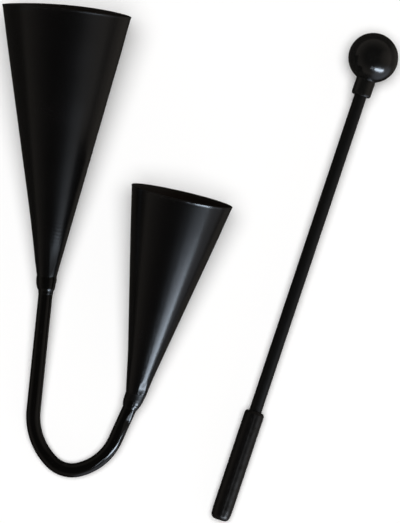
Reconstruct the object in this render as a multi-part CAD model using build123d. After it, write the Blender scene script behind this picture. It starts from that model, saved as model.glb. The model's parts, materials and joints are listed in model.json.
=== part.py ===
"""Agogo bell with its beater, as the set lies on a table.

Two sheet-metal cones are welded to the ends of one bent round bar. The bar is the bow that the
player holds. The beater is a moulded ball on a straight shaft with a rubber grip.

The bells and the bow are drawn in the plane of the bow, with the centre of its base bend at the
origin, and are then laid down until both mouths and the bow touch the table. Millimetres and
degrees, +Z up, the origin below the middle of the whole set.
"""
import os
from math import asin, atan, atan2, cos, degrees, hypot, radians, sin, tan

from build123d import *

# Bow: one round bar, bent three times and straight at both ends
bar_diameter = 10.0
large_leg = 94.6
large_bend_radius = 45.3
large_bend_turn = 50.1
base_bend_radius = 20.2
base_bend_turn = 59.2
small_bend_radius = 38.3
small_bend_turn = 52.4
small_leg = 35.9
bar_insert = 14.0
leg_lean = 6.4

# Bells: sheet rolled to a cone, with its axis kicked over from the leg that carries it
# The large mouth is cut on a shallow arc, seen from above, with its crest to the left of the axis
sheet = 1.2
large_mouth_bore = 89.5
large_bell_length = 190.0
large_bell_kick = 1.65
large_mouth_arc = 399.0
large_mouth_aside = 10.4
small_mouth_bore = 70.3
small_bell_length = 143.5
small_bell_kick = 11.3
root_clearance = 0.15

# Seams: the butt joint along each rolled cone, closed by a flat-sided weld bead on the underside
seam_width = 2.0
seam_crown = 0.4
seam_shoulder = 0.38
seam_turn = 35.0

# Root welds: the collar of weld metal that runs down from each bell onto the bar
weld_length = 12.0
weld_swell = 0.5
weld_swell_place = 0.3
weld_neck_place = 0.75
weld_toe = 0.25
weld_fit = 0.03

# Beater: measured along its axis from the centre of the ball
ball_diameter = 35.2
neck_diameter = 13.9
neck_end = 28.2
neck_round = 1.5
neck_chamfer = 1.2
socket_depth = 24.0
shaft_diameter = 8.8
shaft_chamfer = 0.5
shaft_fit = 0.05
end_gap = 0.3
grip_end = 342.6
grip_length = 80.0
grip_diameter = 14.1
grip_shoulder = 1.6
grip_lip = 1.6
grip_tip_length = 8.0
grip_tip_diameter = 12.9
grip_tip_round = 3.5
grip_end_wall = 3.0

# Where the beater lies: its ball from the base bend, and its turn from straight down the table
beater_aside = 212.2
beater_ahead = 270.1
beater_turn = 18.47

# Settling on the table: steps of the search for the lowest point of the bow and for the pose
bow_samples = 600
settle_rounds = 40

bar_radius = bar_diameter / 2
ball_radius = ball_diameter / 2
grip_radius = grip_diameter / 2
shaft_radius = shaft_diameter / 2


def bow_line():
    """Centreline of the bow, built from the base bend outwards to both bells."""
    heading = radians(large_bend_turn - 90 - leg_lean)
    start = Vector(sin(heading), -cos(heading)) * base_bend_radius
    base = JernArc(start, (cos(heading), sin(heading)), base_bend_radius, base_bend_turn)
    large_bend = JernArc(base @ 0, -(base % 0), large_bend_radius, -large_bend_turn)
    large_run = Line(large_bend @ 1, large_bend @ 1 + (large_bend % 1) * (large_leg + bar_insert))
    small_bend = JernArc(base @ 1, base % 1, small_bend_radius, small_bend_turn)
    small_run = Line(small_bend @ 1, small_bend @ 1 + (small_bend % 1) * (small_leg + bar_insert))
    return large_run, large_bend, base, small_bend, small_run


class Bell:
    """Sizes of one bell and where its narrow end sits on the bow."""

    def __init__(self, run, mouth_bore, length, kick, inner_side, mouth_cut=None):
        self.length = length
        self.kick = kick
        self.inner_side = inner_side
        self.mouth_cut = mouth_cut
        self.leg = run % 1
        self.root = run @ 1 - self.leg * bar_insert
        self.axis = self.leg.rotate(Axis.Z, kick)
        self.mouth_radius = mouth_bore / 2
        self.root_radius = self.clear_root()
        self.half_angle = atan((self.mouth_radius - self.root_radius) / length)
        self.end_radius = self.root_radius + sheet / cos(self.half_angle)
        self.rim_radius = self.mouth_radius + sheet * cos(self.half_angle)
        self.rim_centre = self.root + self.axis * (length - sheet * sin(self.half_angle))
        self.plane = Plane(origin=self.root, x_dir=(0, 0, 1), z_dir=self.axis)

    def clear_root(self):
        """Inner radius at the narrow end that clears the slanted bar there and at the bar's end."""
        at_root = bar_radius / cos(radians(self.kick)) + root_clearance
        drift = bar_insert * (tan(radians(self.kick)) - self.mouth_radius / self.length)
        at_bar_end = (at_root + drift) / (1 - bar_insert / self.length)
        return max(at_root, at_bar_end)

    def wall(self, thickness):
        """Half section of the cone wall, square-cut at the mouth and flat at the narrow end."""
        across = Vector(cos(self.half_angle), 0, -sin(self.half_angle)) * thickness
        mouth = Vector(self.mouth_radius, 0, self.length)
        inner_end = Vector(self.root_radius, 0, 0)
        outer_end = Vector(self.root_radius + thickness / cos(self.half_angle), 0, 0)
        return make_face(Polyline(inner_end, mouth, mouth + across, outer_end, close=True))

    def seam_place(self):
        """Turn from the wall's section plane to the seam, off the underside to the inner side."""
        return Rot(0, 0, 180 - self.inner_side * seam_turn)

    def cut_at_mouth(self, solid):
        """The solid inside the arc that the mouth is cut on, where the bell has one."""
        if self.mouth_cut is None:
            return solid
        arc, aside = self.mouth_cut
        drum = Rot(0, 90, 0) * Cylinder(arc, 4 * self.rim_radius)
        return solid & Pos(0, -aside, self.length - arc) * drum

    def cone(self):
        """Rolled cone, open along its seam."""
        reach = self.rim_radius + sheet
        slit = Pos(reach / 2, 0, self.length / 2) * Box(reach, seam_width, 2 * self.length)
        rolled = revolve(self.wall(sheet), Axis.Z)
        return self.plane * self.cut_at_mouth(rolled - self.seam_place() * slit)

    def seam_weld(self):
        """Bead that fills the seam and stands a little proud outside, with rounded shoulders."""
        bead = extrude(self.wall(sheet + seam_crown), seam_width / 2, dir=(0, 1, 0), both=True)
        crown = bead.faces().sort_by(SortBy.AREA)[-4:].sort_by(Axis.X)[-1]
        shoulders = crown.edges().sort_by(SortBy.LENGTH)[-2:]
        bead = fillet(shoulders, min(seam_shoulder, seam_crown))
        return self.plane * self.cut_at_mouth(self.seam_place() * bead)

    def root_weld(self, bar):
        """Collar lofted from the cone's end onto the bar, square to each, and cut by the bar."""
        profile = (
            (0, self.end_radius),
            (weld_swell_place, self.end_radius + weld_swell),
            (weld_neck_place, (self.end_radius + bar_radius + weld_toe) / 2),
            (1, bar_radius + weld_toe),
        )
        rings = []
        for share, radius in profile:
            centre = self.root - self.leg * (weld_length * share)
            square_to = self.leg.rotate(Axis.Z, self.kick * (1 - share))
            rings.append(Plane(origin=centre, x_dir=(0, 0, 1), z_dir=square_to) * Circle(radius))
        return loft(rings) - bar


def bar_along(line, radius):
    """Round bar of the given radius along a chain of tangent lines and arcs."""
    path = Wire(line)
    return sweep(Plane(origin=path @ 0, z_dir=path % 0) * Circle(radius), path=path)


def weld_bore(bell):
    """Short length of bar, a fit larger, that the root weld closes round."""
    foot = bell.root - bell.leg * 2 * weld_length
    place = Plane(origin=foot, z_dir=bell.leg)
    return place * extrude(Circle(bar_radius + weld_fit), 3 * weld_length)


def settle(bells, line):
    """Up direction of the table in the bow's plane frame, and the height of the touching points.

    The table touches the lowest point of each mouth rim and of the bow. Its normal follows from
    those three points, and they follow from it, so both are found in turn.
    """
    path = Wire(line)
    centreline = [path @ (step / bow_samples) for step in range(bow_samples + 1)]
    up = Vector(0, 0, 1)
    for _ in range(settle_rounds):
        touching = [min(centreline, key=up.dot) - up * bar_radius]
        for bell in bells:
            across = (up - bell.axis * up.dot(bell.axis)).normalized()
            touching.append(bell.rim_centre - across * bell.rim_radius)
        bow_point, first_rim, second_rim = touching
        normal = (first_rim - bow_point).cross(second_rim - bow_point).normalized()
        up = normal if normal.Z > 0 else -normal
    return up, up.dot(bow_point)


def laid_down(solid, up, height):
    """The solid turned so that the table's normal points along +Z, with the table at zero."""
    hinge = Axis((0, 0, 0), up.cross(Vector(0, 0, 1)))
    return Pos(0, 0, -height) * solid.rotate(hinge, degrees(atan2(hypot(up.X, up.Y), up.Z)))


def beater_head():
    """Moulded ball and neck, with the blind socket for the shaft."""
    neck = Pos(0, 0, neck_end / 2) * Cylinder(neck_diameter / 2, neck_end)
    head = Sphere(ball_radius) + neck
    meeting = head.edges().filter_by(GeomType.CIRCLE).sort_by(Axis.Z)[-2]
    head = fillet(meeting, neck_round)
    rim = head.edges().filter_by(GeomType.CIRCLE).sort_by(Axis.Z)[-1]
    head = chamfer(rim, neck_chamfer)
    socket = extrude(Circle(shaft_radius + shaft_fit), socket_depth)
    return head - Pos(0, 0, neck_end - socket_depth) * socket


def beater_shaft():
    """Straight round shaft from the socket in the head to the end of the bore in the grip."""
    start = neck_end - socket_depth + end_gap
    end = grip_end - grip_end_wall - end_gap
    rod = extrude(Circle(shaft_radius), end - start)
    return Pos(0, 0, start) * chamfer(rod.edges().filter_by(GeomType.CIRCLE), shaft_chamfer)


def beater_grip():
    """Closed rubber sleeve with a sloping shoulder and a drawn-in, rounded tip."""
    top = grip_end - grip_length
    outline = Polyline(
        (shaft_radius + shaft_fit, 0, top),
        (shaft_radius + shaft_fit + grip_lip, 0, top),
        (grip_radius, 0, top + grip_shoulder),
        (grip_radius, 0, grip_end - grip_tip_length),
        (grip_tip_diameter / 2, 0, grip_end),
        (0, 0, grip_end),
        (0, 0, grip_end - grip_end_wall),
        (shaft_radius + shaft_fit, 0, grip_end - grip_end_wall),
        close=True,
    )
    sleeve = revolve(make_face(outline), Axis.Z)
    tip = sleeve.edges().filter_by(GeomType.CIRCLE).sort_by(Axis.Z)[-1]
    return fillet(tip, grip_tip_round)


def beater_place():
    """Where the beater lies: on its ball and on the edge where the tip of the grip begins."""
    tip_start = grip_end - grip_tip_length
    slope = asin(ball_radius / hypot(tip_start, grip_radius)) - atan2(grip_radius, tip_start)
    turn = radians(beater_turn)
    along = (-sin(turn) * cos(slope), -cos(turn) * cos(slope), -sin(slope))
    sideways = (cos(turn), -sin(turn), 0)
    return Plane(origin=(beater_aside, beater_ahead, ball_radius), x_dir=sideways, z_dir=along)


def build_set():
    """Every piece by name, lying on the table around an origin below the middle of the set."""
    line = bow_line()
    large_cut = (large_mouth_arc, large_mouth_aside)
    large = Bell(line[0], large_mouth_bore, large_bell_length, large_bell_kick, 1, large_cut)
    small = Bell(line[-1], small_mouth_bore, small_bell_length, small_bell_kick, -1)
    agogo = {
        "bow": bar_along(line, bar_radius),
        "large_bell": large.cone(),
        "large_bell_seam": large.seam_weld(),
        "large_bell_weld": large.root_weld(weld_bore(large)),
        "small_bell": small.cone(),
        "small_bell_seam": small.seam_weld(),
        "small_bell_weld": small.root_weld(weld_bore(small)),
    }
    up, height = settle((large, small), line)
    pieces = {name: laid_down(solid, up, height) for name, solid in agogo.items()}
    place = beater_place()
    pieces["beater_head"] = place * beater_head()
    pieces["beater_shaft"] = place * beater_shaft()
    pieces["beater_grip"] = place * beater_grip()
    boxes = [solid.bounding_box() for solid in pieces.values()]
    left = min(box.min.X for box in boxes)
    right = max(box.max.X for box in boxes)
    near = min(box.min.Y for box in boxes)
    far = max(box.max.Y for box in boxes)
    shift = Pos(-(left + right) / 2, -(near + far) / 2, 0)
    return {name: shift * solid for name, solid in pieces.items()}


os.makedirs("parts", exist_ok=True)
for name, solid in build_set().items():
    export_step(solid, f"parts/{name}.step")
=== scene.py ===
# %% [markdown]
# # An agogo bell and its beater
# An agogo is a hand bell with two voices: two cones of sheet steel, welded to the ends of one bent
# bar and painted black. The beater lies beside it: a moulded ball, a plain shaft and a rubber grip.
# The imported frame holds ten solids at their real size, in metres. This lesson rebuilds the skin of
# each one with numpy, so that it also carries what making leaves behind: rolled sheet that is not
# quite a cone, weld ripples, mould lines and paint that rounds every edge.

# %% Load the frame
import json
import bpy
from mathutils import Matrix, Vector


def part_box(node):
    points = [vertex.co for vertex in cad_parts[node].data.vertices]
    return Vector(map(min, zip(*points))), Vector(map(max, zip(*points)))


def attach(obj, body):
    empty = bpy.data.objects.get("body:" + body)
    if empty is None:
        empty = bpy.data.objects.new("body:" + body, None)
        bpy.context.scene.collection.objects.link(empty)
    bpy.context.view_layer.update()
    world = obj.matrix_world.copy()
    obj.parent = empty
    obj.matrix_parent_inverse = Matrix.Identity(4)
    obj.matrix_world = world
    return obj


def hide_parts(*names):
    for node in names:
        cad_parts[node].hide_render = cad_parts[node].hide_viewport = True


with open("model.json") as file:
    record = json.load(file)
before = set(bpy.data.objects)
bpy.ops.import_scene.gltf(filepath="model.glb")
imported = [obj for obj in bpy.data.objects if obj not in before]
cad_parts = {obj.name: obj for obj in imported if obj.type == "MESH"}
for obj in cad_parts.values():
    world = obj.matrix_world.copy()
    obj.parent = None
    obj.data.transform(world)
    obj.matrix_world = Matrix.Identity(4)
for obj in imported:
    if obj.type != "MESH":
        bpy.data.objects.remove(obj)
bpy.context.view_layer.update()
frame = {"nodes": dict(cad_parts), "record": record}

from types import SimpleNamespace

import bpy
import numpy as np
from mathutils import Quaternion, Vector

mm = 0.001

# %% [markdown]
# ## Measuring instead of typing
# A bell lies tilted on the table, so its place is six numbers. They could be typed in, but then a
# change to the solid would leave the skin behind. Reading them back from the corner points of the
# solid is safer. Both edges of a bell's narrow end are circles in one plane, and a circle fitted through
# their points gives the centre, the axis and the radius at once. The wall has the same slope inside and
# outside, so the mouth follows from that slope and from the length.

# %% Points, directions and circles
def node_points(node):
    """All corner points of a CAD node, as rows of x, y and z in metres."""
    vertices = frame["nodes"][node].data.vertices
    flat = np.empty(3 * len(vertices), np.float32)
    vertices.foreach_get("co", flat)
    return flat.reshape(-1, 3).astype(float)


def unit(vector):
    """The same direction with a length of one."""
    return vector / np.linalg.norm(vector)


def circle_through(points):
    """Centre, axis and radius of the circle on which the points lie.

    The axis is the direction in which the points spread least. Across it, each point p of a circle
    with centre c and radius r obeys p.p = 2 p.c + (r.r - c.c), which is linear in the unknowns.
    """
    middle = points.mean(axis=0)
    first, second, axis = np.linalg.svd(points - middle, full_matrices=False)[2]
    flat = np.column_stack(((points - middle) @ first, (points - middle) @ second))
    known = np.column_stack((2 * flat, np.ones(len(flat))))
    x, y, rest = np.linalg.lstsq(known, (flat ** 2).sum(axis=1), rcond=None)[0]
    return middle + x * first + y * second, axis, np.sqrt(rest + x * x + y * y)


def place_along(origin, axis):
    """A place to turn a piece on: its origin and axis, with up as near to the sky as it can be."""
    up = unit(np.array((0, 0, 1)) - axis * axis[2])
    return SimpleNamespace(origin=origin, axis=axis, up=up, side=np.cross(axis, up))


def reach_from(place, points):
    """How far the points lie along the axis of a place, and how far out from it."""
    along = (points - place.origin) @ place.axis
    return along, np.linalg.norm(np.cross(points - place.origin, place.axis), axis=1)


# %% Measure the bells
end_slack = 0.6 * mm
flat_slack = 0.02 * mm
far_share = 0.9


def measure_bell(bell):
    """Where a bell lies and its radii, from the edges of its narrow end and the slope of its wall."""
    points = node_points(bell)
    foot = node_points(f"{bell}_weld").mean(axis=0)
    ahead = unit(points.mean(axis=0) - foot)
    along = (points - foot) @ ahead
    end = points[along < along.min() + end_slack]
    middle = end.mean(axis=0)
    reach = np.linalg.norm(end - middle, axis=1)
    centre, axis, end_radius = circle_through(end[reach > (reach.min() + reach.max()) / 2])
    place = place_along(centre, axis * np.sign(axis @ ahead))
    along, out = reach_from(place, points)
    root_radius = out[np.abs(along) < flat_slack].min()
    far = along > far_share * along.max()
    slope = ((out - end_radius) / np.maximum(along, flat_slack))[far].max()
    steep = np.arctan(slope)
    sheet = (end_radius - root_radius) * np.cos(steep)
    length = along.max()
    mouth_radius = root_radius + slope * length
    return SimpleNamespace(
        place=place, root_radius=root_radius, end_radius=end_radius, slope=slope, length=length,
        mouth_radius=mouth_radius, rim_radius=mouth_radius + sheet * np.cos(steep),
        rim_along=length - sheet * np.sin(steep),
    )


bells = {name: measure_bell(name) for name in ("large_bell", "small_bell")}
for name, bell in bells.items():
    print(name, "length", round(bell.length / mm, 2), "rim", round(bell.rim_radius / mm, 3),
          "lip", round(bell.mouth_radius / mm, 3), "end", round(bell.end_radius / mm, 3))

# %% [markdown]
# ## One way to make a skin
# Every piece here is round in some sense: a turned profile, a bar along a path, a bead along a seam.
# So one helper is enough. It takes a grid of points, rows by columns, joins the columns round the
# piece and the rows along it, and closes the ends. It works out the enclosed volume as well, because
# the sign of the volume tells whether the faces point outwards.

# %% Grid to mesh
def skin(name, grid, ring=False):
    """A closed mesh over a grid of points, rows by columns.

    Columns join their neighbours and the last joins the first. Rows join in order, and on a ring the
    last joins the first. Otherwise a fan round the middle of the first and of the last row closes it.
    The UV map is in metres: U runs round the widest row, V along the first column.
    """
    rows, columns = grid.shape[:2]
    middles = np.empty((0, 3)) if ring else grid[[0, -1]].mean(axis=1)
    points = np.concatenate((grid.reshape(-1, 3), middles))
    row, column = np.divmod(np.arange((rows if ring else rows - 1) * columns), columns)
    corner_row = row[:, None] + (0, 0, 1, 1)
    corner_column = column[:, None] + (0, 1, 1, 0)
    quads = corner_row % rows * columns + corner_column % columns
    turn = np.arange(columns)
    fan_row = np.repeat((0, rows - 1), columns)[:, None] + (0, 0, 0)
    fan_column = np.concatenate((turn[:, None] + (0, 1, 0), turn[:, None] + (1, 0, 0)))
    fans = fan_row * columns + fan_column % columns
    fans[:, 2] = np.repeat((rows * columns, rows * columns + 1), columns)
    if ring:
        fans = fans[:0]
    triangles = np.concatenate((quads[:, :3], quads[:, (0, 2, 3)], fans))
    first, second, third = points[triangles].swapaxes(0, 1)
    volume = np.einsum("ij,ij->", first, np.cross(second, third)) / 6
    step = -1 if volume < 0 else 1
    faces = quads[:, ::step].tolist() + fans[:, ::step].tolist()
    mesh = bpy.data.meshes.new(name)
    mesh.from_pydata(points.tolist(), [], faces)
    closed = np.concatenate((grid, grid[:1])) if ring else grid
    along = np.cumsum(np.linalg.norm(np.diff(closed[:, 0], axis=0, prepend=closed[:1, 0]), axis=1))
    girth = np.linalg.norm(grid - np.roll(grid, 1, axis=1), axis=2).sum(axis=1).max()
    quad_map = np.stack((corner_column * girth / columns, along[corner_row]), axis=2)
    fan_map = np.stack((fan_column * girth / columns, along[fan_row]), axis=2)[:len(fans)]
    corners = np.concatenate((quad_map[:, ::step].reshape(-1, 2), fan_map[:, ::step].reshape(-1, 2)))
    mesh.uv_layers.new(name="metres").data.foreach_set("uv", corners.astype(np.float32).ravel())
    mesh.shade_smooth()
    piece = bpy.data.objects.new(name, mesh)
    bpy.context.scene.collection.objects.link(piece)
    print(f"{name}: {len(faces)} faces round {abs(volume) * 1e6:.1f} cubic centimetres")
    return piece


# %% Marks and turned surfaces
def mark(piece, name, rows, columns):
    """Keeps a number for each row of a piece's grid, for its material to read; other points get zero."""
    numbers = np.zeros(len(piece.data.vertices), np.float32)
    numbers[:rows.size * columns] = np.repeat(rows, columns)
    piece.data.attributes.new(name, "FLOAT", "POINT").data.foreach_set("value", numbers)


def spokes(side, up, angle):
    """Directions straight out from an axis: cos(angle) side + sin(angle) up."""
    return np.cos(angle)[..., None] * side + np.sin(angle)[..., None] * up


def turned(place, along, radius, angle):
    """Points of a turned surface: origin + along * axis + radius * spoke at that angle."""
    along, radius, angle = np.broadcast_arrays(along, radius, angle)
    out = radius[..., None] * spokes(place.side, place.up, angle)
    return place.origin + along[..., None] * place.axis + out


def full_turn(columns):
    """Angles of so many columns, evenly round a full turn, as one row."""
    return np.linspace(0, 2 * np.pi, columns, endpoint=False)[None, :]


# %% [markdown]
# ## Profiles with eased corners
# Nothing painted or moulded has a knife edge, and only a rounded edge catches a line of light. A
# profile is therefore a few corners, each with its own rounding. The helper below replaces each
# corner with an arc that touches both sides, and then adds points along the straight runs, so that
# small dents and ripples have something to move.

# %% Rounded outline
arc_steps = 7


def eased(before, corner, after, radius):
    """Arc of a radius that touches both sides of a corner, as a few points in order."""
    back, ahead = unit(before - corner), unit(after - corner)
    half = np.arccos(np.clip(back @ ahead, -1, 1)) / 2
    centre = corner + unit(back + ahead) * radius / np.sin(half)
    start = corner + back * radius / np.tan(half) - centre
    end = corner + ahead * radius / np.tan(half) - centre
    sweep = np.pi - 2 * half
    share = np.linspace(0, 1, arc_steps)[:, None]
    return centre + (np.sin((1 - share) * sweep) * start + np.sin(share * sweep) * end) / np.sin(sweep)


def filled(points, spacing):
    """The same polyline, with more points wherever a run is longer than the spacing."""
    station = np.concatenate(([0], np.cumsum(np.linalg.norm(np.diff(points, axis=0), axis=1))))
    runs = [np.linspace(start, end, int(np.ceil((end - start) / spacing)) + 1)[:-1]
            for start, end in zip(station, station[1:])]
    dense = np.concatenate((*runs, station[-1:]))
    return np.column_stack([np.interp(dense, station, points[:, axis]) for axis in (0, 1)])


def outline(corners, rounds, spacing):
    """Open profile through corners of (along, radius), each eased by the round of the same place."""
    corners = np.array(corners, float)
    bends = [
        eased(*corners[index - 1:index + 2], radius) if radius else corners[index:index + 1]
        for index, radius in enumerate(rounds)
    ]
    return filled(np.concatenate(bends), spacing)


# %% [markdown]
# ## The bells
# Each bell is cut from sheet and rolled until its edges meet. Rolling never gives a true cone: near
# the narrow end the rollers leave shallow flats, and the wall sways a little between them. Where the
# cone was closed on the bar, the hammer pushed its sides out and left one flat facet on each bell.
# The hammer moved the wall by up to a millimetre. The rolling leaves a few hundredths, far too little to
# measure in a picture, but a painted cone is a mirror that shows it. A perfect cone with a bump map would
# show some of this. Moving the points themselves keeps it when the mesh is used without its material.

# %% Shape of the rolled sheet
flat_count = 9
flat_depth = 0.045 * mm
flat_fade = 0.16
ring_pitch = 6.5 * mm
ring_depth = 0.010 * mm
ring_fade = 0.13
sway_lobes = 3
sway_depth = 0.05 * mm
# Where the hammer pushed the wall out: angle round the cone, height, width in radians, reach along it
swellings = {
    "large_bell": ((np.pi, 1.0 * mm, 0.8, 28 * mm), (1.1, 0.2 * mm, 0.8, 9 * mm)),
    "small_bell": ((np.pi, 0.9 * mm, 0.8, 18 * mm), (0.0, 0.6 * mm, 0.7, 8 * mm)),
}


def bump(place, middle, width):
    """A smooth hump, one at its middle and nothing a few widths away."""
    return np.exp(-((place - middle) / width) ** 2)


def round_from(angle, middle):
    """Angle from a middle the short way round, between minus and plus half a turn."""
    return np.angle(np.exp(1j * (angle - middle)))


def swollen(name, along, angle):
    """How far the hammer pushed the wall out: humps round the cone that fade along it."""
    humps = [height * bump(round_from(angle, middle), 0, width) * bump(np.maximum(along, 0), 0, reach)
             for middle, height, width, reach in swellings[name]]
    return sum(humps)


def rolled(bell, along, angle, start):
    """How far the sheet strays from a true cone.

    Flats: a cosine with several lobes round the cone, which dies out from the narrow end upwards.
    Rings: a wave along the cone that dies out the same way. Sway: three lobes, most at half height.
    """
    share = along / bell.length
    flats = flat_depth * np.exp(-share / flat_fade) * np.cos(flat_count * angle + start)
    rings = ring_depth * np.exp(-share / ring_fade) * np.cos(2 * np.pi * along / ring_pitch + angle)
    sway = sway_depth * np.sin(np.pi * share) * np.cos(sway_lobes * angle + 2 * start)
    return flats + rings + sway - flat_depth * np.exp(-share / flat_fade)


# %% [markdown]
# Three more traces of hand work show. The facet is a plane that cuts the round wall where the hammer
# struck: across a round of radius r, a plane at distance d from the axis lies at d / cos(angle) from it.
# The large mouth was cut on a shallow arc, so its rim falls back towards both sides. And at each rim the
# shears left the edge turned out a little: the wall dips just before it and flares again at the lip.

# %% Facet, cut and flare
# Each facet: turn round the cone, middle and reach along it, share of the radius left, slope, and from
# where down it curls out to meet the end of the cone
facets = {
    "large_bell": (np.radians(66), 8.5 * mm, 14.0 * mm, 0.981, 0.165, 5.0 * mm),
    "small_bell": (np.radians(62), 4.6 * mm, 4.2 * mm, 0.938, 0.225, 5.2 * mm),
}
mouth_arc = {"large_bell": 399.0 * mm}
mouth_aside = 10.4 * mm
flare_place = 2.0 * mm
flare_width = 1.1 * mm
flare_fade = 18 * mm
flare_depth = 0.21 * mm
# A plane runs off to infinity where it is seen edge on, so the cosine is kept above this
least_cosine = 0.005

bow_up = unit(np.cross(bells["small_bell"].place.axis, bells["large_bell"].place.axis))


def struck(name, along, radius, angle):
    """Radius left by the hammer: the lower of the wall and a plane, faded out up the cone.

    Towards the narrow end the plane curls out with the square of the distance, until it runs level.
    """
    turn, middle, reach, share, slope, curl = facets[name]
    wall = bells[name].end_radius + bells[name].slope * middle
    plane = share * wall + slope * (along - middle) + slope * np.maximum(curl - along, 0) ** 2 / (2 * curl)
    facing = np.cos(angle - turn)
    over = np.clip(radius - plane / np.maximum(facing, least_cosine), 0, None) * (facing > 0)
    return radius - over * bump(np.maximum(along, middle), middle, reach)


def cut_back(name, radius, angle):
    """How far the rim falls back: arc - sqrt(arc^2 - aside^2), aside measured from the arc's crest."""
    place = bells[name].place
    sideways = np.cross(place.axis, bow_up)
    aside = radius * (spokes(place.side, place.up, angle) @ sideways)
    arc = mouth_arc.get(name)
    return arc - np.sqrt(arc ** 2 - (aside + mouth_aside) ** 2) if arc else 0 * aside


# %% Make the bells
bell_columns = 288
wall_spacing = 1.6 * mm
rim_round = 0.45 * mm
rim_reach = 2.5 * mm
# Rows of points near the rim, as distances back from it, which give the flare something to move
rim_rows = np.linspace(2.5, 0.3, 13) * flare_place
# Where the rolled flats start round each bell, in radians
roll_starts = {"large_bell": 0.6, "small_bell": 2.1}
# Chatter of the rollers: how strong on each bell, where it is strongest and how far it reaches
chatter = {"large_bell": 1.0, "small_bell": 0.0}
chatter_place, chatter_reach = 33 * mm, 9 * mm


def make_bell(name):
    """Cone wall as a ring: out along the outside, round the rim, back inside and round the end."""
    bell = bells[name]
    middle = (0, (bell.root_radius + bell.end_radius) / 2)
    near_rim = bell.rim_along - rim_rows
    outer_rim = np.column_stack((near_rim, bell.end_radius + bell.slope * near_rim))
    inner_rim = np.column_stack((near_rim, bell.root_radius + bell.slope * near_rim))[::-1]
    corners = (middle, (0, bell.end_radius), *outer_rim, (bell.rim_along, bell.rim_radius),
               (bell.length, bell.mouth_radius), *inner_rim, (0, bell.root_radius), middle)
    plain = (0,) * len(near_rim)
    rounds = (0, rim_round, *plain, rim_round, rim_round, *plain, rim_round, 0)
    profile = outline(corners, rounds, wall_spacing)[:-1]
    along, radius = profile[:, :1], profile[:, 1:]
    angle = full_turn(bell_columns)
    strayed = radius + rolled(bell, along, angle, roll_starts[name]) + swollen(name, along, angle)
    from_rim = bell.length - along
    dip_width = np.where(from_rim < flare_place, flare_width, flare_fade)
    strayed = strayed - flare_depth * bump(from_rim, flare_place, dip_width)
    wall = bell.root_radius + bell.slope * along
    strayed = np.where(radius > wall + rim_round, struck(name, along, strayed, angle), strayed)
    back = cut_back(name, bell.mouth_radius, angle) * np.clip(along / bell.length, 0, 1)
    piece = skin(name, turned(bell.place, along - back, strayed - bell.slope * back, angle), ring=True)
    depth = np.clip(1 - (radius - wall) / (bell.end_radius - bell.root_radius), 0, 1)
    mark(piece, "inside", depth, bell_columns)
    mark(piece, "rim", np.exp(-from_rim / rim_reach), bell_columns)
    mark(piece, "chatter", chatter[name] * bump(along, chatter_place, chatter_reach), bell_columns)
    return piece


pieces = {name: make_bell(name) for name in bells}

# %% [markdown]
# ## The seams
# The butt joint of each cone is closed with one run of weld. A weld pool freezes in small steps, so
# the bead is a row of overlapping crescents. The bead is a rounded section carried along the cone's
# straight line, with its height following a wave of one step. It lies on the underside, where the
# solid of the seam says.

# %% Make the seams
seam_columns = 20
seam_half_width = 1.0 * mm
seam_crown = 0.32 * mm
seam_root = 0.12 * mm
pool_step = 1.6 * mm
pool_height = 0.10 * mm
rows_per_pool = 7
crescent = 0.45 * mm
# How far the bead stops short of the narrow end and of the rim
seam_from, seam_short = 0.6 * mm, 0.3 * mm
# Powers under one, which make the oval section fuller in height and in width
seam_fullness, seam_squareness = 0.6, 0.8


def make_seam(name):
    """Bead along the wall: an oval section whose crown rises and falls once for each weld pool.

    Each pool lags behind at the edges of the bead, which bends the ripples into crescents.
    """
    bell = bells[name]
    direction = (node_points(f"{name}_seam") - bell.place.origin).mean(axis=0)
    turn = np.arctan2(direction @ bell.place.up, direction @ bell.place.side)
    along = np.arange(seam_from, bell.rim_along - seam_short, pool_step / rows_per_pool)[:, None]
    round_turn = full_turn(seam_columns)
    across, out = np.cos(round_turn), np.sin(round_turn)
    pool = 0.5 + 0.5 * np.cos(2 * np.pi * (along + crescent * across ** 2) / pool_step)
    share = along / bell.rim_along
    inner = bell.root_radius + share * (bell.mouth_radius - bell.root_radius) - seam_root
    outer = bell.end_radius + share * (bell.rim_radius - bell.end_radius) + seam_crown - pool_height * pool
    radius = (inner + outer) / 2 + (outer - inner) / 2 * np.sign(out) * np.abs(out) ** seam_fullness
    width = seam_half_width * np.sign(across) * np.abs(across) ** seam_squareness
    back = cut_back(name, outer, turn) * share
    grid = turned(bell.place, along - back, radius - bell.slope * back, turn + width / radius)
    return skin(f"{name}_seam", grid)


for name in bells:
    pieces[f"{name}_seam"] = make_seam(name)

# %% [markdown]
# ## The bow
# The bow is one straight bar, bent three times. A bend is a stretch in which the heading turns at a
# steady rate, so the whole line follows from one idea: the heading is a broken line over the distance
# run, and adding up small steps in that heading draws the bar. It starts in the large bell, and where
# it ends can be checked against the small bell. Just below the small weld a grinder left a shallow flat.

# %% Draw the line of the bow
bar_radius = 5.0 * mm
large_leg = 94.6 * mm
large_bend_radius = 45.3 * mm
large_bend_turn = np.radians(50.1)
base_bend_radius = 20.2 * mm
base_bend_turn = np.radians(59.2)
small_bend_radius = 38.3 * mm
small_bend_turn = np.radians(52.4)
small_leg = 35.9 * mm
bar_insert = 14.0 * mm
kicks = {"large_bell": np.radians(1.65), "small_bell": np.radians(11.3)}
bar_step = 1.0 * mm


def turned_about(vector, normal, angle):
    """A vector in a plane, turned in that plane about its normal: cos v + sin (n x v)."""
    angle = np.asarray(angle)[..., None]
    return np.cos(angle) * vector + np.sin(angle) * np.cross(normal, vector)


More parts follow.
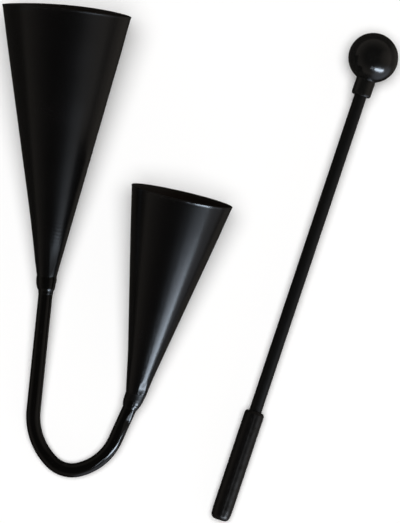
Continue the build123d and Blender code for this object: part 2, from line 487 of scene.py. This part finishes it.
legs = {name: turned_about(bell.place.axis, bow_up, -kicks[name]) for name, bell in bells.items()}
runs = (large_leg + bar_insert, large_bend_radius * large_bend_turn, base_bend_radius * base_bend_turn,
        small_bend_radius * small_bend_turn, small_leg + bar_insert)
turns = (0, large_bend_turn, base_bend_turn, small_bend_turn, 0)
station = np.linspace(0, sum(runs), round(sum(runs) / bar_step) + 1)
heading = np.interp(station, np.cumsum((0, *runs)), np.cumsum((0, *turns)))
course = turned_about(-legs["large_bell"], bow_up, heading)
bar_start = bells["large_bell"].place.origin + bar_insert * legs["large_bell"]
stride = (course[1:] + course[:-1]) / 2 * np.diff(station)[:, None]
bow_line = bar_start + np.concatenate((np.zeros((1, 3)), np.cumsum(stride, axis=0)))
bar_end = bells["small_bell"].place.origin + bar_insert * legs["small_bell"]
print("the bow misses the small bell by", round(np.linalg.norm(bow_line[-1] - bar_end) / mm, 3), "mm")

# %% Make the bow
bar_columns = 64
end_bevel = 0.8 * mm
# A flat that the grinder left below the small weld: where it starts, counted from the bar's end there,
# where it is deepest and where it has run out, then its depth and its turn round the bar in radians
flat_from, flat_deepest, flat_to = 25.2 * mm, 34.0 * mm, 45.0 * mm
flat_cut = 0.44 * mm
flat_turn = 1.0


def make_bow():
    """Circles square to the line of the bow, drawn in over a short bevel at both cut ends.

    The flat is a plane that cuts deeper and then runs out: at distance d it lies at d / cos(angle).
    """
    from_end = np.minimum(station, station[-1] - station)
    radius = bar_radius - np.clip(end_bevel - from_end, 0, None)
    angle = full_turn(bar_columns)
    cut = np.interp(station[-1] - station, (flat_from, flat_deepest, flat_to), (0, flat_cut, 0))[:, None]
    plane = (bar_radius - cut) / np.maximum(np.cos(angle - flat_turn), least_cosine)
    radius = np.minimum(radius[:, None], plane)
    side = np.cross(course, bow_up)[:, None]
    return skin("bow", bow_line[:, None] + radius[..., None] * spokes(side, bow_up, angle))


pieces["bow"] = make_bow()

# %% [markdown]
# ## The root welds
# Where a cone meets the bar, weld metal was run round the joint by hand and painted over. On the large
# bell it is a thick bead with a steep lower flank and one more small ring, the last pass of the torch.
# On the small bell it carries the line of the cone on, and runs out in rough lumps. Each collar is a
# profile, given by a few corners with eased edges, that leans from the axis of the cone to the axis of
# the bar. The lumps and the swelling of the cone's own end are added to its radius. The torch also burnt
# the upper part of the small collar, where the paint is dull. A mark on its rows tells the material so.

# %% Profiles of the root welds
weld_columns = 120
weld_spacing = 0.25 * mm
weld_grip = 0.4 * mm
weld_round = 0.35 * mm
# Corners of each collar: distance below the end of the cone and radius, in millimetres
weld_corners = {
    "large_bell": ((-0.7, 6.45), (1.6, 6.75), (8.1, 5.85), (9.8, 5.22), (10.6, 5.06), (11.2, 5.28),
                   (12.0, 4.98), (12.6, 4.8)),
    "small_bell": ((-0.7, 6.6), (1.2, 6.3), (6.0, 5.87), (10.9, 5.2), (11.4, 4.95), (12.2, 4.8)),
}
# How the two collars differ: where the lumps start round them, fuller sides, lumps, sag, depth of the
# hammered facet that goes on from the cone, dullness of the paint, and how much duller it is where burnt
collars = {
    "large_bell": SimpleNamespace(start=0.4, sides=0.15 * mm, lumps=0.025 * mm, sag=0.40 * mm,
                                  facet=0.0, dull=0.16, burn=0.0),
    "small_bell": SimpleNamespace(start=1.9, sides=0.55 * mm, lumps=0.055 * mm, sag=0.0,
                                  facet=0.2 * mm, dull=0.25, burn=0.8),
}

# %% Make the root welds
# Each set of lumps: height, number round the collar, turns of the start, and twist on the way down
lump_waves = ((1.0, 3, 1, 4), (1.0, 5, -2, -7), (0.6, 8, 3, 11))
# Ripples of the passes: their pitch, their height beside that of the lumps, and their sway round the bar
pass_pitch = 1.9 * mm
pass_height, pass_sway = 0.5, 2
# Power with which the swelling of the cone's end dies out on the way down
swell_fade = 1.5
# The sag: its turn and width round the collar in radians, its place and reach down it as shares
sag_turn, sag_width = np.pi, 1.0
sag_place, sag_reach = 0.45, 0.25
# The facet on the collar: how wide round it in radians, and how far down it goes
facet_width, facet_reach = 0.5, 4.0 * mm
# Where the burnt paint begins to fade and where it has gone
burn_fades, burn_ends = 4.5 * mm, 6.5 * mm


def make_root_weld(name):
    """Collar from the cone's end to the bar.

    Its radius follows the eased corners. Added to it are the swelling of the cone's end, which dies out
    on the way down, three sets of lumps round it, the ripples of the passes, fuller sides and a sag.
    """
    bell, collar, leg = bells[name], collars[name], legs[name]
    corners = np.array(weld_corners[name]) * mm
    profile = outline(corners, (0, *[weld_round] * (len(corners) - 2), 0), weld_spacing)
    down, radius = profile[:, :1], profile[:, 1:]
    share = np.clip(down / down.max(), 0, 1)
    angle = full_turn(weld_columns)
    lumps = sum(height * np.cos(count * angle + turns * collar.start + twist * share)
                for height, count, turns, twist in lump_waves)
    lumps = lumps + pass_height * np.cos(2 * np.pi * down / pass_pitch + pass_sway * np.cos(angle))
    radius = radius + np.sin(np.pi * share) * (collar.lumps * lumps + collar.sides * np.cos(angle) ** 2)
    radius = radius + swollen(name, -down, angle) * (1 - share) ** swell_fade
    sag = bump(round_from(angle, sag_turn), 0, sag_width) * bump(share, sag_place, sag_reach)
    facet = bump(round_from(angle, facets[name][0]), 0, facet_width) * np.clip(1 - down / facet_reach, 0, 1)
    radius = radius + collar.sag * sag - collar.facet * facet
    lean = turned_about(leg, bow_up, kicks[name] * (1 - share[:, 0]))[:, None]
    spoke = spokes(np.cross(lean, bow_up), bow_up, angle)
    centre = (bell.place.origin - down * leg)[:, None]
    outside = centre + radius[..., None] * spoke
    inside = centre + (bar_radius - weld_grip) * spoke
    piece = skin(f"{name}_weld", np.concatenate((outside, inside[::-1])), ring=True)
    burnt = np.interp(down, (burn_fades, burn_ends), (collar.burn, 0))
    mark(piece, "dull", collar.dull + burnt, weld_columns)
    return piece


for name in bells:
    pieces[f"{name}_weld"] = make_root_weld(name)

# %% [markdown]
# ## The beater
# Ball, shaft and grip share one axis, which the record's mount on the grip gives. The ball touches the
# table and the two far sides of its box, so the box gives its centre and radius. The rest is read as
# distances along that axis and out from it. The head and the grip are moulded in two halves, and the
# line where the halves of the mould met runs along their upper and lower side. Beside the neck, where the
# plastic is thickest and cools last, the ball has sunk a little.

# %% Measure the beater
# From how many ball radii along the axis the head is all neck
neck_from = 1.2
head_low, head_high = (np.array(corner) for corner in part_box("beater_head"))
ball_radius = (head_high[2] - head_low[2]) / 2
grip_mount = next(mount for mount in frame["record"]["mounts"] if mount["name"] == "grip")
ball_centre = np.array((*(head_high[:2] - ball_radius), head_low[2] + ball_radius))
beater = place_along(ball_centre, unit(np.array(grip_mount["axis"], float)))
reaches = {name: reach_from(beater, node_points(f"beater_{name}")) for name in ("head", "shaft", "grip")}
neck_end = reaches["head"][0].max()
neck_radius = reaches["head"][1][reaches["head"][0] > ball_radius * neck_from].max()
shaft_radius = reaches["shaft"][1].max()
shaft_start, shaft_end = reaches["shaft"][0].min(), reaches["shaft"][0].max()
grip_start, grip_end = reaches["grip"][0].min(), reaches["grip"][0].max()
grip_radius = reaches["grip"][1].max()
print("ball", round(ball_radius / mm, 2), "neck", round(neck_radius / mm, 2),
      "shaft", round(shaft_radius / mm, 2), "grip", round(grip_radius / mm, 2),
      "from", round(grip_start / mm, 1), "to", round(grip_end / mm, 1))

# %% Make the head
head_columns = 288
ball_rows = 110
neck_round = 0.6 * mm
neck_lead, neck_lead_drop = 1.5 * mm, 0.40 * mm
neck_bevel = 0.4 * mm
bevel_round = 0.4 * mm
mouth_round = 0.3 * mm
socket_depth = 24.0 * mm
fit = 0.05 * mm
turned_spacing = 1.5 * mm
line_height = 0.09 * mm
line_width = 0.30 * mm
# Share of the mould line's height that was left on the polished ball
line_on_ball = 0.35
# Angle at which the ball's first row leaves its far pole
pole_angle = 0.02
# A faint sink beside the neck: where along the axis, its turn round it, how wide and how deep
sink_along, sink_turn = 8.6 * mm, 1.96
sink_width, sink_depth = 5.5 * mm, 0.4 * mm


def from_mould_line(angle, radius):
    """Distance round the piece to the nearer mould line, above or below: radius * |angle to it|."""
    return radius * np.abs(np.arcsin(np.cos(angle)))


def make_head():
    """Ball, hollow round to the neck, tapered neck edge and blind socket, turned as one profile."""
    hollow_out = neck_radius + neck_round
    hollow_along = np.sqrt((ball_radius + neck_round) ** 2 - hollow_out ** 2)
    meeting = np.arctan2(hollow_out, -hollow_along)
    sweep = np.linspace(pole_angle, meeting, ball_rows)
    ball = ball_radius * np.column_stack((-np.cos(sweep), np.sin(sweep)))
    round_sweep = np.linspace(meeting - np.pi, -np.pi / 2, arc_steps)[1:]
    hollow = np.column_stack((-np.cos(round_sweep), np.sin(round_sweep))) * neck_round
    hollow = hollow + (hollow_along, hollow_out)
    bore = shaft_radius + fit
    edge = neck_radius - neck_lead_drop
    corners = (hollow[-1], (neck_end - neck_lead, neck_radius), (neck_end - neck_bevel, edge),
               (neck_end, edge - neck_bevel), (neck_end, bore), (neck_end - socket_depth, bore),
               (neck_end - socket_depth, bore / 2))
    neck = outline(corners, (0, bevel_round, bevel_round, bevel_round, mouth_round, 0, 0), turned_spacing)
    profile = np.concatenate((ball, hollow[:-1], neck))
    along, radius = profile[:, :1], profile[:, 1:]
    angle = full_turn(head_columns)
    on_neck = line_on_ball + (1 - line_on_ball) * np.clip((along - ball_radius) / neck_round, 0, 1)
    on_neck = on_neck * (radius > bore + mouth_round) * (along < neck_end - neck_lead)
    ridge = line_height * on_neck * bump(from_mould_line(angle, radius), 0, line_width)
    shrink = line_height * line_on_ball * (along < ball_radius)
    from_sink = np.hypot(along - sink_along, radius * round_from(angle, sink_turn))
    sink = sink_depth * bump(from_sink, 0, sink_width) * (along < hollow_along)
    strayed = radius + ridge - shrink - sink
    return skin("beater_head", turned(beater, along, strayed, angle))


pieces["beater_head"] = make_head()

# %% Make the shaft
shaft_columns = 72
shaft_bevel = 0.5 * mm


def make_shaft():
    """Plain rod with a small bevel at both ends, which lie inside the head and the grip."""
    corners = ((shaft_start, shaft_radius / 2), (shaft_start, shaft_radius - shaft_bevel),
               (shaft_start + shaft_bevel, shaft_radius), (shaft_end - shaft_bevel, shaft_radius),
               (shaft_end, shaft_radius - shaft_bevel), (shaft_end, shaft_radius / 2))
    profile = outline(corners, (0,) * len(corners), turned_spacing)
    return skin("beater_shaft", turned(beater, profile[:, :1], profile[:, 1:], full_turn(shaft_columns)))


pieces["beater_shaft"] = make_shaft()

# %% Make the grip
grip_columns = 168
grip_shoulder = 1.6 * mm
grip_lip = 1.6 * mm
grip_tip_length = 8.0 * mm
grip_tip_radius = 6.45 * mm
grip_tip_round = 3.5 * mm
grip_end_wall = 3.0 * mm
lip_round = 0.35 * mm
shoulder_round = 1.0 * mm
ridge_height = 0.08 * mm
ridge_place = 0.35 * mm
ridge_width = 0.5 * mm
groove_depth = 0.20 * mm
groove_place = 1.7 * mm
groove_width = 1.3 * mm


def make_grip():
    """Closed sleeve, turned, with a low ridge along its upper mould line and a groove beside it.

    The knife that trimmed the flash took a shallow groove with it. Ridge and groove are humps over the
    distance from the line. Below, where the grip lies on the table, it is left true.
    """
    bore = shaft_radius + fit
    inner_end = grip_end - grip_end_wall
    corners = ((inner_end, bore / 2), (inner_end, bore), (grip_start, bore), (grip_start, bore + grip_lip),
               (grip_start + grip_shoulder, grip_radius), (grip_end - grip_tip_length, grip_radius),
               (grip_end, grip_tip_radius), (grip_end, grip_tip_radius / 2))
    rounds = (0, 0, lip_round, lip_round, shoulder_round, 0, grip_tip_round, 0)
    profile = outline(corners, rounds, turned_spacing)
    along, radius = profile[:, :1], profile[:, 1:]
    angle = full_turn(grip_columns)
    full_wall = np.clip((radius - bore - grip_lip) / (grip_radius - bore - grip_lip), 0, 1)
    right_of_line = radius * round_from(angle, np.pi / 2)
    ridge = ridge_height * bump(right_of_line, ridge_place, ridge_width)
    groove = groove_depth * bump(right_of_line, groove_place, groove_width)
    raised = (ridge - groove) * full_wall * (np.sin(angle) > 0)
    return skin("beater_grip", turned(beater, along, radius + raised, angle))


pieces["beater_grip"] = make_grip()

# %% [markdown]
# ## Finishes
# All of it is black, so the finishes differ in how they handle light: how sharp a highlight is, how it
# breaks up, and what shows where the coat is thin. Each material therefore gives most of its nodes to
# roughness and to bump, and little to colour. A pattern's scale is one over the size of a feature in
# metres. Colours are written as they look on a screen, and one function turns them to linear light.

# %% Small tools for materials
def linear(code):
    """Linear red, green, blue and alpha of a screen colour such as #0b0b0a, by the sRGB formula."""
    screen = np.array([int(code[at:at + 2], 16) for at in (1, 3, 5)]) / 255
    light = np.where(screen <= 0.04045, screen / 12.92, ((screen + 0.055) / 1.055) ** 2.4)
    return (*light.tolist(), 1.0)


def wire(tree, node, inputs):
    """Fills sockets of a node: a socket of another node is linked, and anything else is a value."""
    for socket, value in inputs.items():
        if isinstance(value, bpy.types.NodeSocket):
            tree.links.new(value, node.inputs[socket])
        else:
            node.inputs[socket].default_value = value


def add(tree, kind, inputs, **settings):
    """Adds one node: settings are its own options, inputs are values or links for its sockets."""
    node = tree.nodes.new(kind)
    for name, value in settings.items():
        setattr(node, name, value)
    wire(tree, node, inputs)
    return node


def new_material(name):
    """A material with its tree, its shader and the coordinates of the piece that wears it."""
    material = bpy.data.materials.new(name)
    material.use_nodes = True
    tree = material.node_tree
    print("material:", name)
    return material, tree, tree.nodes["Principled BSDF"], add(tree, "ShaderNodeTexCoord", {})


# Sockets of the Mix and Math nodes by number, because several of them share one name
share_of, colour_a, colour_b, colour_out = 0, 6, 7, 2
first_value, second_value, third_value = 0, 1, 2
# Noise stays near the middle of its range, so a spread of gloss is stretched over this much of it
middle_noise = {"From Min": 0.3, "From Max": 0.7}
wide_noise = {"From Min": 0.2, "From Max": 0.8}
finishes = {}


def clouded(tree, noise, blacks, roughness, stretch):
    """Colour and roughness that follow one noise: two blacks mixed by it, two levels of roughness too."""
    dark, pale = map(linear, blacks)
    colour = add(tree, "ShaderNodeMix", data_type="RGBA", inputs={
        share_of: noise, colour_a: dark, colour_b: pale})
    low, high = roughness
    rough = add(tree, "ShaderNodeMapRange", {"Value": noise, **stretch, "To Min": low, "To Max": high})
    return colour.outputs[colour_out], rough.outputs[0]


# %% [markdown]
# ** Sprayed enamel on sheet steel.** The bells are sprayed from outside, in a thin semi-gloss coat. It
# gives a soft, wide streak of light with a faint orange peel of about two millimetres. Near the narrow
# end of the large bell the rollers chattered, and even ripples cross the streak. Inside, only overspray
# settles, so the coat is dry. The brown tint inside is a painted warm reflection. The thin edge of the
# mouth wears first.

# %% Bell enamel
bell_blacks = ("#060606", "#0a0909")
# Painted warm reflection: the brown that the inside of each bell is mixed towards
painted_warm_reflection_brown = "#0b0705"
worn_grey = "#1d1c1b"
peel_size = 2.2 * mm
peel_height = 0.004 * mm
cloud_size = 28 * mm
scuff_size = 1.1 * mm
# Levels of the scuffs' noise at which the coat begins to thin and is worn
thin_from, thin_to = 0.5, 0.72
chatter_pitch = 2.7 * mm
chatter_height = 0.024 * mm
# How far the ripples stray from straight lines, and how closely they do so
chatter_stray, chatter_stray_scale = 1.5, 0.4
bell_roughness = (0.23, 0.28)
dry_roughness = 0.30
# The rim is rubbed by hands and cases, which takes a little off its roughness
rim_polish = -0.03


def bell_enamel():
    """Black enamel that turns dry inside, with a brown painted warm reflection there, and is rubbed thin
    along the rim.
    """
    material, tree, shader, place = new_material("sprayed_enamel_on_sheet_steel")
    at = place.outputs["Object"]
    cloud, scuff, peel = (add(tree, "ShaderNodeTexNoise", {"Vector": at, "Scale": 1 / size}).outputs["Fac"]
                          for size in (cloud_size, scuff_size, peel_size))
    inside, rim, rolled_here = (add(tree, "ShaderNodeAttribute", {}, attribute_name=name).outputs["Fac"]
                                for name in ("inside", "rim", "chatter"))
    coat, gloss = clouded(tree, cloud, bell_blacks, bell_roughness, wide_noise)
    # Inside the cone the black is mixed towards brown, a painted warm reflection
    wall = add(tree, "ShaderNodeMix", data_type="RGBA", inputs={
        share_of: inside, colour_a: coat, colour_b: linear(painted_warm_reflection_brown)})
    thin = add(tree, "ShaderNodeMapRange", {"Value": scuff, "From Min": thin_from, "From Max": thin_to})
    worn = add(tree, "ShaderNodeMath", operation="MULTIPLY", inputs={
        first_value: thin.outputs[0], second_value: rim})
    colour = add(tree, "ShaderNodeMix", data_type="RGBA", inputs={
        share_of: worn.outputs[0], colour_a: wall.outputs[colour_out], colour_b: linear(worn_grey)})
    dry = add(tree, "ShaderNodeMath", operation="MULTIPLY_ADD", inputs={
        first_value: inside, second_value: dry_roughness, third_value: gloss})
    rough = add(tree, "ShaderNodeMath", operation="MULTIPLY_ADD", inputs={
        first_value: rim, second_value: rim_polish, third_value: dry.outputs[0]})
    # One wave of the texture is pi / 10 long at a scale of one
    ripple = add(tree, "ShaderNodeTexWave", bands_direction="Y", inputs={
        "Vector": place.outputs["UV"], "Scale": np.pi / 10 / chatter_pitch,
        "Distortion": chatter_stray, "Detail Scale": chatter_stray_scale})
    ripples = add(tree, "ShaderNodeBump", {"Height": ripple.outputs["Fac"], "Distance": chatter_height,
                                           "Strength": rolled_here})
    peeled = add(tree, "ShaderNodeBump", {"Height": peel, "Distance": peel_height,
                                          "Normal": ripples.outputs[0]})
    wire(tree, shader, {"Base Color": colour.outputs[colour_out], "Roughness": rough.outputs[0],
                        "Normal": peeled.outputs[0]})
    return material


finishes["bell_enamel"] = bell_enamel()

# %% [markdown]
# **Brushed enamel on round bar.** The bow and its welds carry a thicker, glossier coat that ran a
# little before it set. Highlights on it are narrow and break where the paint has sagged. Over the rough
# weld metal the same coat is duller.

# %% Bar enamel
bar_blacks = ("#050504", "#090808")
sag_size = 9 * mm
sag_height = 0.012 * mm
grit_size = 1.2 * mm
grit_height = 0.003 * mm
bar_roughness = (0.07, 0.12)
dull_roughness = 0.30


def bar_enamel():
    """Glossy black enamel with soft sags and a little grit."""
    material, tree, shader, place = new_material("brushed_enamel_on_steel_bar")
    at = place.outputs["Object"]
    sag, grit = (add(tree, "ShaderNodeTexNoise", {"Vector": at, "Scale": 1 / size}).outputs["Fac"]
                 for size in (sag_size, grit_size))
    dull = add(tree, "ShaderNodeAttribute", {}, attribute_name="dull").outputs["Fac"]
    colour, gloss = clouded(tree, sag, bar_blacks, bar_roughness, middle_noise)
    rough = add(tree, "ShaderNodeMath", operation="MULTIPLY_ADD", inputs={
        first_value: dull, second_value: dull_roughness, third_value: gloss})
    sags = add(tree, "ShaderNodeBump", {"Height": sag, "Distance": sag_height})
    grits = add(tree, "ShaderNodeBump", {"Height": grit, "Distance": grit_height,
                                         "Normal": sags.outputs[0]})
    wire(tree, shader, {"Base Color": colour, "Roughness": rough.outputs[0], "Normal": grits.outputs[0]})
    return material


finishes["bar_enamel"] = bar_enamel()

# %% [markdown]
# **Moulded hard plastic.** The ball comes out of a polished mould, so it is smooth and shows the room
# as a small bright window with soft edges. Slow flow marks from the moulding vary its gloss.

# %% Head plastic
ball_blacks = ("#0c0c0c", "#10100f")
flow_size = 14 * mm
ball_grain_size = 0.9 * mm
ball_grain_height = 0.0015 * mm
ball_roughness = (0.155, 0.185)
ball_gloss = 0.66


def head_plastic():
    """Smooth black plastic with flow marks in its gloss and a very fine grain."""
    material, tree, shader, place = new_material("moulded_hard_plastic")
    at = place.outputs["Object"]
    flow, grain = (add(tree, "ShaderNodeTexNoise", {"Vector": at, "Scale": 1 / size}).outputs["Fac"]
                   for size in (flow_size, ball_grain_size))
    colour, rough = clouded(tree, flow, ball_blacks, ball_roughness, middle_noise)
    fine = add(tree, "ShaderNodeBump", {"Height": grain, "Distance": ball_grain_height})
    wire(tree, shader, {"Base Color": colour, "Roughness": rough, "Normal": fine.outputs[0],
                        "Specular IOR Level": ball_gloss})
    return material


finishes["head_plastic"] = head_plastic()

# %% [markdown]
# **Drawn satin plastic.** The shaft was drawn through a die, which leaves hair-fine lines along it. They
# spread a highlight sideways and leave it calm lengthways. Real die lines are too fine to show at this
# size, so they are drawn about four times as coarse. They follow the piece's own UV map.

# %% Shaft plastic
shaft_blacks = ("#080808", "#0c0c0b")
die_line_size = 0.8 * mm
die_line_length = 70 * mm
die_line_height = 0.004 * mm
shaft_roughness = (0.36, 0.43)
shaft_gloss = 0.44


def shaft_plastic():
    """Satin black plastic with fine lines along its length."""
    material, tree, shader, place = new_material("drawn_satin_plastic")
    stretch = (1 / die_line_size, 1 / die_line_length, 1.0)
    lengthways = add(tree, "ShaderNodeMapping", {"Vector": place.outputs["UV"], "Scale": stretch})
    lines = add(tree, "ShaderNodeTexNoise", {"Vector": lengthways.outputs[0], "Scale": 1.0}).outputs["Fac"]
    colour, rough = clouded(tree, lines, shaft_blacks, shaft_roughness, middle_noise)
    drawn = add(tree, "ShaderNodeBump", {"Height": lines, "Distance": die_line_height})
    wire(tree, shader, {"Base Color": colour, "Roughness": rough, "Normal": drawn.outputs[0],
                        "Specular IOR Level": shaft_gloss})
    return material


finishes["shaft_plastic"] = shaft_plastic()

# %% [markdown]
# **Moulded rubber.** The grip is soft black rubber. A fine pebble in the mould makes it dull, and hands
# polish it unevenly, so the sheen is cloudy.

# %% Grip rubber
rubber_blacks = ("#070707", "#0b0a0a")
rubber_sheen = "#fffaf5"
pebble_size = 0.8 * mm
pebble_height = 0.010 * mm
polish_size = 3 * mm
rubber_roughness = (0.25, 0.43)
rubber_gloss = 0.66


def grip_rubber():
    """Dull black rubber with a fine pebble and hand-polished patches."""
    material, tree, shader, place = new_material("moulded_black_rubber")
    at = place.outputs["Object"]
    polish, pebble = (add(tree, "ShaderNodeTexNoise", {"Vector": at, "Scale": 1 / size}).outputs["Fac"]
                      for size in (polish_size, pebble_size))
    colour, rough = clouded(tree, polish, rubber_blacks, rubber_roughness, wide_noise)
    pebbles = add(tree, "ShaderNodeBump", {"Height": pebble, "Distance": pebble_height})
    wire(tree, shader, {"Base Color": colour, "Roughness": rough, "Normal": pebbles.outputs[0],
                        "Specular IOR Level": rubber_gloss, "Specular Tint": linear(rubber_sheen)})
    return material


finishes["grip_rubber"] = grip_rubber()

# %% [markdown]
# ## Dressing the frame
# Each skin rides on the body of the solid that it stands for, hides that solid and takes the finish
# that the record names for it.

# %% Dress every piece
slots = {part["node"]: part["material_slot"] for part in frame["record"]["subparts"]}
bodies = frame["record"]["behaviour"]["bodies"]
for body, nodes in bodies.items():
    for node in nodes:
        piece = pieces[node]
        piece.name = f"{node}_skin"
        piece.data.materials.append(finishes[slots[node]])
        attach(piece, body)
        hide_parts(node)
    print(body, "carries", ", ".join(nodes))

# %% [markdown]
# ## Stage and light
# The set lies on plain white paper. One wide, soft sun straight above lights the paper and leaves a
# faint shadow close round each piece. A sun has a size in degrees: the wider it is, the softer the
# shadow. Its energy is the light that falls on a level surface, and at pi the paper comes out in the
# colour that is written for it.

# %% Paper and sun
set_middle = (0, 0, 0)
paper_white = "#fbfbfb"
paper_roughness = 0.95
paper_half = 4.0
paper_drop = 0.05 * mm
sun_energy = 3.12
sun_spread = np.radians(45)
sun_place = (0.0, 0.0, 4.0)


def make_paper():
    """Flat square sheet just under the set, in a pale matt white."""
    corner = np.array(((-1, -1), (1, -1), (1, 1), (-1, 1))) * paper_half
    mesh = bpy.data.meshes.new("paper")
    mesh.from_pydata(np.column_stack((corner, np.full(4, -paper_drop))).tolist(), [], [(0, 1, 2, 3)])
    material, tree, shader, _ = new_material("matt_white_paper")
    wire(tree, shader, {"Base Color": linear(paper_white), "Roughness": paper_roughness,
                        "Specular IOR Level": 0.0})
    mesh.materials.append(material)
    paper = bpy.data.objects.new("paper", mesh)
    bpy.context.scene.collection.objects.link(paper)
    return paper


def aimed(obj, place, target, roll=0.0):
    """Puts a lamp or camera at a place, looking at a target, and rolls it about its line of sight."""
    obj.location = place
    obj.rotation_mode = "QUATERNION"
    look = (Vector(target) - Vector(place)).to_track_quat("-Z", "Y")
    obj.rotation_quaternion = look @ Quaternion((0, 0, 1), roll)
    bpy.context.scene.collection.objects.link(obj)
    return obj


paper = make_paper()
sun = bpy.data.lights.new("soft_sun", "SUN")
sun.energy = sun_energy
sun.angle = sun_spread
soft_sun = aimed(bpy.data.objects.new("soft_sun", sun), sun_place, set_middle)
print("paper", 2 * paper_half, "m wide under a sun", round(np.degrees(sun_spread)), "degrees wide")

# %% [markdown]
# A black thing has almost no colour of its own: what the eye reads is what it mirrors. On the real set
# that is a slanted window low on the right, a narrow pane beside it, its glow on the wall and on the
# dark table in front of it, and a faint warm band along the rest of the horizon. The paper stands in
# for a background that was cut out, and the pieces never mirrored it, so it is kept out of reflections,
# and so is the sun. The window is kept out of the light on the paper in turn, which stays even.

# %% Window
window_colour = "#dfeeff"
window_radiance = 18.5
window_distance = 0.92


def compass(azimuth, elevation):
    """Direction by its angle from the near side towards the right, and by its height, in degrees."""
    azimuth, elevation = np.radians((azimuth, elevation))
    level = np.cos(elevation)
    return np.array((np.sin(azimuth) * level, -np.cos(azimuth) * level, np.sin(elevation)))


def make_pane(name, azimuth, elevation, width, height, roll):
    """A flat lamp that faces the set: its power is radiance * pi * width * height."""
    lamp = bpy.data.lights.new(name, "AREA")
    lamp.shape = "RECTANGLE"
    lamp.size, lamp.size_y = width, height
    lamp.energy = window_radiance * np.pi * width * height
    lamp.color = linear(window_colour)[:3]
    place = window_distance * compass(azimuth, elevation)
    pane = aimed(bpy.data.objects.new(name, lamp), place, set_middle, np.radians(roll))
    pane.visible_camera = False
    pane.visible_diffuse = False
    print(name, round(lamp.energy, 2), "W")


make_pane("window_pane", azimuth=33.5, elevation=21.7, width=0.53, height=0.14, roll=-45.5)
make_pane("narrow_pane", azimuth=7.2, elevation=39.0, width=0.022, height=0.15, roll=-25.0)
paper.visible_glossy = False
soft_sun.visible_glossy = False

# %% Room
# Radiance of the room by the height of a direction, from straight down at -1 to straight up at 1
room_levels = {-1.0: 0.03, -0.08: 0.035, 0.02: 0.20, 0.78: 0.006}
room_tint = "#fff4e8"
# Middle of each glow, how far it reaches in degrees, its radiance and its colour
glows = ((compass(28, -10), 39, 0.66, "#e3ebfb"), (compass(82, 32), 40, 0.12, room_tint),
         (compass(82, -28), 46, 0.11, room_tint))


def make_room():
    """Dim surroundings with the glow of the window.

    The room's radiance depends only on the height of a direction: table, horizon, dark ceiling. Each
    glow grows smoothly with the cosine of the angle to its middle.
    """
    world = bpy.data.worlds.new("dim_room")
    world.use_nodes = True
    world.cycles.sampling_method = "NONE"
    tree = world.node_tree
    direction = add(tree, "ShaderNodeTexCoord", {}).outputs["Generated"]
    height = add(tree, "ShaderNodeSeparateXYZ", {"Vector": direction}).outputs["Z"]
    share = add(tree, "ShaderNodeMapRange", {"Value": height, "From Min": -1.0}).outputs[0]
    levels = add(tree, "ShaderNodeValToRGB", {"Fac": share})
    stops = levels.color_ramp.elements
    for stop, (up, level) in enumerate(room_levels.items()):
        element = stops[stop] if stop < len(stops) else stops.new(1.0)
        element.position = (up + 1) / 2
        element.color = (level, level, level, 1.0)
    room = tree.nodes["Background"]
    wire(tree, room, {"Color": linear(room_tint), "Strength": levels.outputs["Color"]})
    light = room
    for middle, reach, radiance, tint in glows:
        nearness = add(tree, "ShaderNodeVectorMath", {0: direction, 1: middle}, operation="DOT_PRODUCT")
        glow = add(tree, "ShaderNodeMapRange", interpolation_type="SMOOTHSTEP", inputs={
            "Value": nearness.outputs["Value"], "From Min": np.cos(np.radians(reach)), "To Max": radiance})
        lit = add(tree, "ShaderNodeBackground", {"Color": linear(tint), "Strength": glow.outputs[0]})
        light = add(tree, "ShaderNodeAddShader", {0: light.outputs[0], 1: lit.outputs[0]})
    wire(tree, tree.nodes["World Output"], {"Surface": light.outputs[0]})
    bpy.context.scene.world = world
    print("room of", len(room_levels), "levels with", len(glows), "glows")


make_room()

# %% [markdown]
# ## Camera
# The picture was taken from almost straight above, from well back, with the set filling the frame. The
# lens follows from the distance and from how much of the table one pixel covers.

# %% Camera
image_height = 523
pixel = 0.70688 * mm
camera_distance = 2.830
camera_tilt = np.radians(2.413)
camera_aim = np.array((-0.758, 0.223, 0.0)) * mm
sensor = 36.0


def make_camera():
    """Camera above the set, leaning a little towards its near edge."""
    data = bpy.data.cameras.new("camera")
    data.sensor_width = sensor
    data.lens = sensor * camera_distance / (image_height * pixel)
    back = np.array((0, -np.sin(camera_tilt), np.cos(camera_tilt)))
    camera = aimed(bpy.data.objects.new("camera", data), camera_aim + camera_distance * back, camera_aim)
    print("lens", round(data.lens, 1), "mm")
    return camera


bpy.context.scene.camera = make_camera()
bpy.context.scene.view_settings.view_transform = "Standard"
